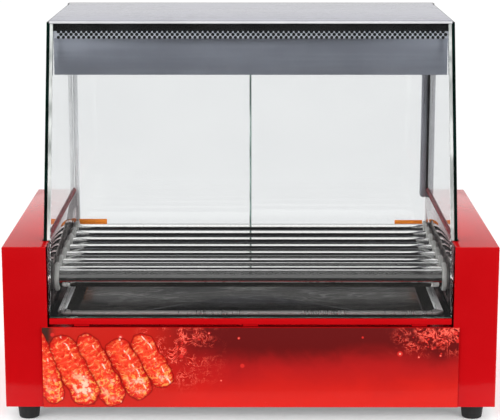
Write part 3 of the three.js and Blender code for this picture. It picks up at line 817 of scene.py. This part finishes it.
def dial_scale(name, x, y, z):
    """Tick marks and plain numbers round a knob, from 0 at the top, clockwise as the operator sees it."""
    middle, tick_radius, number_radius = Vector((x, y + 0.1 * MM, z)), 21.4 * MM, 26.6 * MM
    bm = bmesh.new()
    for k in range(DIAL_NUMBERS):
        angle = math.radians(DIAL_TURN * k / (DIAL_NUMBERS - 1))
        around = Vector((-math.sin(angle), 0, math.cos(angle)))
        centre = middle + around * tick_radius
        side = Vector((around.z, 0, -around.x)) * 0.35 * MM
        length = around * 1.5 * MM
        lift = Vector((0, 0.12 * MM, 0))
        inner, outer = centre - length, centre + length
        front = [bm.verts.new(c) for c in (inner - side, inner + side, outer + side, outer - side)]
        back = [bm.verts.new(vert.co + lift) for vert in front]
        bm.faces.new(front)
        bm.faces.new(back[::-1])
        for i in range(4):
            bm.faces.new((front[i], back[i], back[(i + 1) % 4], front[(i + 1) % 4]))
        number = bpy.data.curves.new(f"{name}_number_{k}", "FONT")
        number.body = str(k)
        number.size = 5.2 * MM
        number.extrude = 0.05 * MM
        number.align_x = "CENTER"
        number.align_y = "CENTER"
        number.materials.append(MATERIALS["black"])
        text = bpy.data.objects.new(f"{name}_number_{k}", number)
        bpy.context.scene.collection.objects.link(text)
        text.location = middle + around * number_radius
        text.rotation_euler = (math.pi / 2, 0, math.pi)
        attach(text, "body")
    finish_piece(name + "_scale", bm, "body", ("black",))


def switches():
    panel_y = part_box("rear_panel")[1].y
    for name, colour in (("power_switch", "red_rocker"), ("motor_switch", "black")):
        refine(name, name, (colour,), 0.7 * MM, 3)
        x, _, z = middle_of(name)
        bm = bmesh.new()
        outer_x, outer_z, inner_x, inner_z = 10.2 * MM, 15 * MM, 7 * MM, 11.6 * MM
        back, front = panel_y + 0.1 * MM, panel_y + 2.2 * MM
        for x0, x1, z0, z1 in (
            (-outer_x, -inner_x, -outer_z, outer_z), (inner_x, outer_x, -outer_z, outer_z),
            (-inner_x, inner_x, inner_z, outer_z), (-inner_x, inner_x, -outer_z, -inner_z),
        ):
            add_block(bm, (x + x0, back, z + z0), (x + x1, front, z + z1), 0.5 * MM, 2)
        finish_piece(name + "_bezel", bm, "body", ("black",))


def lamps():
    panel_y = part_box("rear_panel")[1].y
    for name in ("front_thermostat", "rear_thermostat"):
        knob = name + "_knob"
        at = (middle_of(knob).x, panel_y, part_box(knob)[1].z + 13.2 * MM)
        bm = bmesh.new()
        ring = millimetres((0, 0.1), (4.4, 0.1), (4.4, 1.1), (3.6, 1.6), (3.2, 1.2), (0, 1.2))
        add_lathe(bm, ring, "Y", at, 32)
        lens = millimetres((0, 1.25), (3.1, 1.25), (3.0, 2.6), (2.2, 3.5), (0, 3.9))
        add_lathe(bm, lens, "Y", at, 32, material=1)
        finish_piece(name + "_lamp", bm, "body", ("black", "amber"))


def gland():
    x, _, z = middle_of("cord_gland")
    bm = bmesh.new()
    profile = millimetres(
        (4.1, 0), (7.9, 0), (7.9, 10.3), (10.6, 10.3), (11, 10.8), (11, 15.4), (10.4, 16.2), (8.7, 17.6),
        (7.6, 25.2), (6.9, 26), (4.6, 26), (4.1, 25.4), (4.1, 0),
    )
    add_lathe(bm, profile, "Y", (x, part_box("cord_gland")[0].y, z), 48)
    finish_piece("cord_gland_moulding", bm, "body", ("black",), ("cord_gland",), 35)


def heater_supports():
    """Inside each end box: the strip that carries the heater rods, and a ceramic bead on each rod."""
    for side, sign in SIDES:
        bm = bmesh.new()
        x = sign * 262 * MM
        first, last = roller_centre(1), roller_centre(7)
        near, far = sorted((x, x + sign * SHEET))
        low, high = (near, first.y - 12 * MM, first.z - 14 * MM), (far, last.y + 12 * MM, last.z + 6 * MM)
        add_block(bm, low, high, 0.3 * MM)
        bead = millimetres((4.2, 1.6), (7, 1.6), (7.4, 2.4), (6, 6.5), (4.2, 6.5), (4.2, 1.6))
        bead = [(radius, x + sign * reach) for radius, reach in bead]
        for number in ROLLERS:
            add_lathe(bm, bead, "X", roller_centre(number), 24, material=1)
        finish_piece(side + "_heater_support", bm, "body", ("zinc", "ceramic"))


def plain_nodes():
    """The rail and pan with rounded edges, and the zinc-coated CAD nodes whose shape stays."""
    refine("front_rail", "body", ("red",), 1.2 * MM, 4)
    refine("base_pan", "body", ("zinc",), 0.3 * MM, 2)
    for node in ["drive_motor", "drive_chain", "motor_sprocket"] + [f"heater_{number}" for number in ROLLERS]:
        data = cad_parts[node].data
        data.materials.clear()
        data.materials.append(MATERIALS["zinc"])


# ---------------------------------------------------------------- printed front

def printed_front():
    """The front's printed film: a plain picture of grilled sausages that fades into red and dark red.

    Its distances, and those of the functions it calls, are millimetres from the panel's lower left corner.
    """
    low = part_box("front_panel")[0]
    made = Shader("printed_film", IOR=1.2)
    place = made.place((1 / MM,) * 3, (-low.x, 0, -low.z))
    flat = made.vector("MULTIPLY", place, (1, 0, 1))
    parts = made.node("ShaderNodeSeparateXYZ", {0: place})
    across, up = parts.outputs["X"], parts.outputs["Z"]
    cloud = made.noise(flat, 0.014, 4, 0.6, 0.4)
    height = made.math("ADD", up, made.math("MULTIPLY", made.math("SUBTRACT", cloud, 0.5), 42.0))
    colour = made.mix(made.steps(height, 4, 56), (0.6, 0.016, 0.011), (0.41, 0.012, 0.012))
    colour = made.mix(made.steps(height, 46, 78), colour, (0.125, 0.008, 0.008))
    left_end = made.steps(across, 200, 110)
    colour = made.mix(left_end, colour, (0.5, 0.016, 0.01))
    corner = made.math("MULTIPLY", made.steps(across, 18, 6), made.steps(up, 74, 84))
    colour = made.mix(corner, colour, (0.05, 0.02, 0.015))
    colour = splash(made, flat, across, up, colour)
    sausages = (
        ((-9, 84), (13, 19), 13.5, 0.3), ((24, 71), (50, 19), 17, 1.0), ((54, 75), (82, 17), 15.5, 0.35),
        ((92, 70), (114, 26), 15, 0.8), ((119, 77), (141, 38), 14, 0.7),
    )
    for number, (head, foot, radius, paleness) in enumerate(reversed(sausages)):
        colour = sausage(made, flat, colour, head, foot, radius, paleness, number)
    made.set("Base Color", colour)
    made.set("Roughness", made.steps(made.noise(place, 0.09, 3), 0.3, 0.7, 0.12, 0.2))
    MATERIALS["print"] = made.material


def sausage(made, flat, under, head, foot, radius, paleness, seed):
    """Paints one grilled sausage over what is under it: wrinkled skin, a golden and a pale end, a shine."""
    axis = Vector((foot[0] - head[0], 0, foot[1] - head[1]))
    length = axis.length
    along_way = axis.normalized()
    across_way = Vector((along_way.z, 0, -along_way.x))
    moved = made.vector("ADD", flat, (seed * 61.0, 0, seed * 17.0))
    wander = made.node("ShaderNodeTexNoise", {"Vector": moved, "Scale": 0.06, "Detail": 2.0}).outputs["Color"]
    bend = made.vector("MULTIPLY", made.vector("SUBTRACT", wander, (0.5,) * 3), (9, 0, 9))
    local = made.vector("SUBTRACT", made.vector("ADD", flat, bend), (head[0], 0, head[1]))
    along = made.dot(local, tuple(along_way))
    side = made.math("DIVIDE", made.dot(local, tuple(across_way)), radius)
    inside = made.math("MAXIMUM", made.math("MINIMUM", along, length), 0.0)
    past = made.math("DIVIDE", made.math("SUBTRACT", along, inside), radius)
    side_square = made.math("MULTIPLY", side, side)
    distance = made.math("SQRT", made.math("ADD", side_square, made.math("MULTIPLY", past, past)))
    rough = made.noise(moved, 0.11, 4, 0.55, 0.6)
    fine = made.noise(moved, 0.2, 3, 0.55, 0.8)
    body = made.mix(made.steps(distance, 0.25, 1.0), (0.9, 0.05, 0.022), (0.6, 0.014, 0.01))
    body = made.mix(made.steps(rough, 0.52, 0.66, 0.0, 0.6), body, (0.96, 0.16, 0.045))
    body = made.mix(made.steps(rough, 0.46, 0.34, 0.0, 0.6), body, (0.55, 0.01, 0.008))

    turns = made.math("ADD", made.math("MULTIPLY", along, 0.85), made.math("MULTIPLY", side_square, 2.4))
    wave = made.math("SINE", made.math("ADD", turns, made.math("MULTIPLY", rough, 16.0)))
    wrinkle = made.math("MULTIPLY", made.steps(wave, 0.6, 1.0), made.steps(fine, 0.44, 0.58, 0.1, 0.75))
    body = made.mix(wrinkle, body, (1.0, 0.36, 0.16))
    body = made.mix(made.steps(wave, -0.8, -1.0, 0.0, 0.5), body, (0.45, 0.01, 0.008))

    low_end = made.steps(along, length * 0.45, length * 0.85)
    golden = made.math("MULTIPLY", made.steps(fine, 0.5, 0.62), made.math("ADD", low_end, 0.15, clamp=True))
    body = made.mix(made.math("MULTIPLY", golden, 0.7), body, (0.97, 0.4, 0.08))
    patches = made.noise(moved, 0.075, 3, 0.6)
    pale = made.math("MULTIPLY", made.steps(patches, 0.48, 0.58), made.steps(distance, 0.75, 0.4))
    pale = made.math("MULTIPLY", made.math("MULTIPLY", pale, low_end), made.steps(fine, 0.36, 0.5, 0.1, 0.85))
    body = made.mix(made.math("MULTIPLY", pale, paleness), body, (0.83, 0.6, 0.44))

    streak = made.steps(made.math("ABSOLUTE", made.math("ADD", side, 0.4)), 0.09, 0.01)
    shine = made.math("MULTIPLY", streak, made.steps(rough, 0.5, 0.58))
    body = made.mix(made.math("MULTIPLY", shine, 0.75), body, (1.0, 0.8, 0.68))
    shade = made.math("MULTIPLY", made.steps(distance, 1.14, 0.98), 0.75)
    shaded = made.mix(shade, under, (0.12, 0.004, 0.004))
    body = made.mix(made.steps(distance, 0.84, 1.0, 0.0, 0.8), body, (0.42, 0.008, 0.006))
    return made.mix(made.steps(distance, 1.01, 0.97), shaded, body)


def splash(made, flat, across, up, under):
    """Juice thrown off to the right of the sausages and in the far corner: broken strands and beads."""
    near = made.math("MULTIPLY", made.steps(across, 105, 140), made.steps(across, 225, 160))
    near = made.math("MULTIPLY", near, made.steps(up, 12, 60))
    far = made.math("MULTIPLY", made.steps(across, 405, 450), made.steps(up, 58, 82))
    reach = made.math("ADD", near, far, clamp=True)
    tangle = made.noise(flat, 0.085, 6, 0.72, 1.2)
    off = made.math("ABSOLUTE", made.math("SUBTRACT", tangle, 0.5))
    broken = made.steps(made.noise(flat, 0.05, 3, 0.6), 0.42, 0.56)
    strand = made.math("MULTIPLY", made.steps(off, 0.05, 0.015), made.math("MULTIPLY", reach, broken))
    dark = made.math("MULTIPLY", made.steps(off, 0.11, 0.06), made.math("MULTIPLY", reach, broken))
    colour = made.mix(made.math("MULTIPLY", dark, 0.7), under, (0.2, 0.006, 0.006))
    colour = made.mix(strand, colour, (0.9, 0.03, 0.016))
    glint = made.math("MULTIPLY", made.steps(off, 0.012, 0.004), made.math("MULTIPLY", reach, broken))
    colour = made.mix(made.math("MULTIPLY", glint, 0.85), colour, (1.0, 0.36, 0.26))
    return droplets(made, flat, reach, colour)


def droplets(made, flat, reach, under):
    """Round beads of juice with a lit spot, thick where reach is high and rare elsewhere."""
    for scale, share in ((0.075, 0.1), (0.15, 0.05)):
        cells = made.node("ShaderNodeTexVoronoi", {"Vector": flat, "Scale": scale, "Randomness": 1.0})
        pick = made.dot(cells.outputs["Color"], (0.5, 0.3, 0.2))
        amount = made.math("ADD", made.math("MULTIPLY", reach, 0.45), share)
        chosen = made.steps(pick, made.math("SUBTRACT", 0.86, amount), made.math("SUBTRACT", 0.9, amount))
        radius = made.math("MULTIPLY", made.math("ADD", made.math("MULTIPLY", pick, 0.2), 0.06), chosen)
        edge = made.math("SUBTRACT", cells.outputs["Distance"], radius)
        under = made.mix(made.steps(edge, 0.05, -0.03), under, (0.62, 0.025, 0.02))
        under = made.mix(made.math("MULTIPLY", made.steps(edge, -0.1, -0.16), 0.8), under, (1.0, 0.4, 0.3))
    return under


# ---------------------------------------------------------------- studio

def studio_world():
    """White for the camera. Surfaces mirror it bright behind, dark in front, darker overhead and below."""
    scene = bpy.context.scene
    scene.view_settings.view_transform = "Standard"
    world = bpy.data.worlds.new("studio")
    world.use_nodes = True
    scene.world = world
    sky = Nodes(world.node_tree)
    coords = sky.node("ShaderNodeTexCoord").outputs["Generated"]
    way = sky.node("ShaderNodeSeparateXYZ", {0: coords}).outputs
    level = sky.steps(way["Z"], -0.1, 0.0, UNDER_LEVEL, FRONT_LEVEL)
    front = sky.steps(way["Z"], 0.35, 0.75, level, OVERHEAD_LEVEL)
    graded = sky.steps(way["Y"], -0.3, 0.15, front, STUDIO_WHITE)
    path = sky.node("ShaderNodeLightPath").outputs
    bounces = sky.math("ADD", path["Glossy Depth"], path["Diffuse Depth"])
    strength = sky.steps(bounces, 0.0, 1.0, STUDIO_WHITE, graded)
    background = world.node_tree.nodes["Background"]
    world.node_tree.links.new(strength, background.inputs["Strength"])
    background.inputs["Color"].default_value = (1.0, 1.0, 1.0, 1.0)


def studio_floor():
    floor = bmesh.new()
    floor.faces.new([floor.verts.new((x, y, -FLOOR_DROP)) for x, y in FLOOR_CORNERS])
    mesh = bpy.data.meshes.new("floor")
    floor.to_mesh(mesh)
    floor.free()
    plane = bpy.data.objects.new("floor", mesh)
    bpy.context.scene.collection.objects.link(plane)
    paint = Shader("pale_floor", Roughness=0.6, Emission_Color=(1.0, 1.0, 1.0), Emission_Strength=0.12)
    cloud = paint.noise(paint.place(), 3, 3)
    paint.set("Base Color", paint.mix(cloud, (0.92, 0.92, 0.92), (0.94, 0.94, 0.94)))
    mesh.materials.append(paint.material)


def studio_lamps():
    """Soft lamps at both front corners, hidden from mirrors, and a weak one overhead."""
    for name, at, size, power in STUDIO_LAMPS:
        lamp = bpy.data.lights.new(name, "AREA")
        lamp.shape = "RECTANGLE"
        lamp.size, lamp.size_y = size
        lamp.energy = power
        lamp_object = bpy.data.objects.new(name, lamp)
        lamp_object.visible_glossy = name == "top"
        bpy.context.scene.collection.objects.link(lamp_object)
        lamp_object.location = at
        aim = Vector(LAMP_AIM) - Vector(at)
        lamp_object.rotation_euler = aim.to_track_quat("-Z", "Y").to_euler()


def camera():
    """A long lens a little above the hood's middle, square to the customer's side."""
    cover_low, cover_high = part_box("left_end_cover")
    data = bpy.data.cameras.new("camera")
    data.lens = LENS
    data.sensor_width = SENSOR_WIDTH
    data.clip_start = 0.05
    made = bpy.data.objects.new("camera", data)
    bpy.context.scene.collection.objects.link(made)
    made.location = (CAMERA_X, cover_low.y - CAMERA_REACH, cover_high.z + CAMERA_RISE)
    made.rotation_euler = (math.radians(90 - CAMERA_PITCH), 0, math.radians(CAMERA_YAW))
    bpy.context.scene.camera = made


camera()
studio_world()
studio_floor()
studio_lamps()
printed_front()
end_covers()
side_glass_gaskets()
front_panel()
rollers()
bushes()
glass_panes()
front_glass_seals()
hood_band()
hood_metal()
side_plates()
drip_tray()
feet()
door_pulls()
door_edges()
door_trim()
door_tags()
rear_panel()
knobs()
switches()
lamps()
gland()
heater_supports()
plain_nodes()
